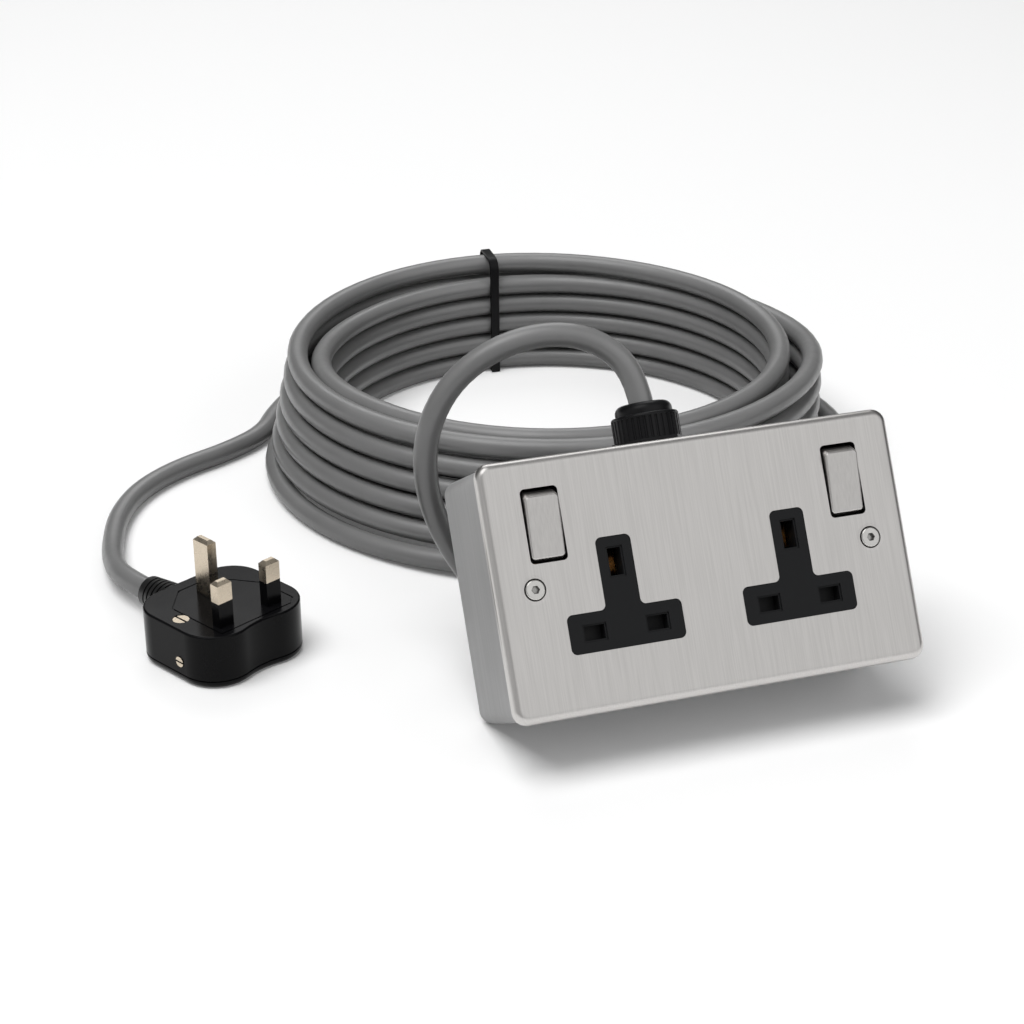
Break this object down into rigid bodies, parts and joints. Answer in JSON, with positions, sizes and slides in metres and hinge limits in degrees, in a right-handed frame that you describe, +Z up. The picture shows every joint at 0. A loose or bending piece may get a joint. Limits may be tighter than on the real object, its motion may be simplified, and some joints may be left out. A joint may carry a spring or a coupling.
{
  "type": "metal-clad extension lead",
  "caption": "Metal-clad twin switched socket box on a coiled mains cord with a fused plug; the rockers and the slot shutters move.",
  "frame": {"origin": "centre of the box's plan on the floor, measured without the free cord, its coil and its plug", "axes": "+X along the box towards the right-hand outlet, +Y away from the sockets' side towards the coil, +Z up; the box leans back 30 degrees on its rear bottom edge"},
  "size_m": [0.3272, 0.3833, 0.1266],
  "materials": {
    "box_steel": "satin grey",
    "plate_steel": "brushed",
    "screw_steel": "bright zinc",
    "moulding_black": "matte",
    "rocker_black": "satin",
    "cap_steel": "brushed",
    "shutter_black": "matte",
    "contact_brass": "bright",
    "gland_nylon": "satin nylon",
    "seal_rubber": "matte",
    "cord_grey": "soft vinyl",
    "core_brown": "vinyl",
    "core_blue": "vinyl",
    "core_green_yellow": "vinyl",
    "tie_nylon": "nylon",
    "plug_black": "gloss",
    "pin_brass": "bright",
    "fuse_ceramic": "glazed barrel between metal caps"
  },
  "bodies": {
    "lead": {"back_box": "box_steel", "front_plate": "plate_steel", "plate_screws": "screw_steel", "front_moulding": "moulding_black", "rear_moulding": "moulding_black", "moulding_screws": "screw_steel", "neutral_bar": "contact_brass", "earth_bar": "contact_brass", "live_bar": "contact_brass", "terminal_screws": "contact_brass", "box_earth_screw": "screw_steel", "core_live": "core_brown", "core_neutral": "core_blue", "core_earth": "core_green_yellow", "earth_link": "core_green_yellow", "gland_body": "gland_nylon", "gland_nut": "gland_nylon", "gland_seal": "seal_rubber", "gland_locknut": "gland_nylon", "cord_tail": "cord_grey", "cord_from_box": "cord_grey", "cord_coil": "cord_grey", "cord_to_plug": "cord_grey", "cable_tie": "tie_nylon", "plug_cover": "plug_black", "plug_base": "plug_black", "plug_earth_pin": "pin_brass", "plug_live_pin": "pin_brass", "plug_neutral_pin": "pin_brass", "pin_sleeves": "plug_black", "plug_fuse": "fuse_ceramic", "fuse_clips": "contact_brass", "cord_grip": "plug_black", "grip_screws": "screw_steel", "cover_screw": "pin_brass", "side_screw": "pin_brass", "plug_relief": "plug_black", "plug_tail": "cord_grey", "plug_cores": "core_brown", "live_contact_left": "contact_brass", "switch_lever_left": "contact_brass", "outlet_face_left": "moulding_black", "live_contact_right": "contact_brass", "switch_lever_right": "contact_brass", "outlet_face_right": "moulding_black"},
    "rocker_left_body": {"rocker_left": "rocker_black", "rocker_cap_left": "cap_steel", "rocker_plunger_left": "rocker_black"},
    "shutter_left_body": {"shutter_left": "shutter_black", "shutter_spring_left": "screw_steel"},
    "rocker_right_body": {"rocker_right": "rocker_black", "rocker_cap_right": "cap_steel", "rocker_plunger_right": "rocker_black"},
    "shutter_right_body": {"shutter_right": "shutter_black", "shutter_spring_right": "screw_steel"}
  },
  "joints": [
    {"name": "rocker_left_swing", "type": "hinge", "parent": "lead", "child": "rocker_left_body", "pos_m": [-0.0538, -0.00729, 0.07709], "axis": [1, 0, 0], "range_deg": [-14, 0]},
    {"name": "rocker_right_swing", "type": "hinge", "parent": "lead", "child": "rocker_right_body", "pos_m": [0.0538, -0.00729, 0.07709], "axis": [1, 0, 0], "range_deg": [-14, 0]},
    {"name": "shutter_left_slide", "type": "slide", "parent": "lead", "child": "shutter_left_body", "axis": [0, 0.5, 0.866], "range_m": [0, 0.0068], "stiffness_N_per_m": 40, "springref_m": -0.002},
    {"name": "shutter_right_slide", "type": "slide", "parent": "lead", "child": "shutter_right_body", "axis": [0, 0.5, 0.866], "range_m": [0, 0.0068], "stiffness_N_per_m": 40, "springref_m": -0.002}
  ]
}
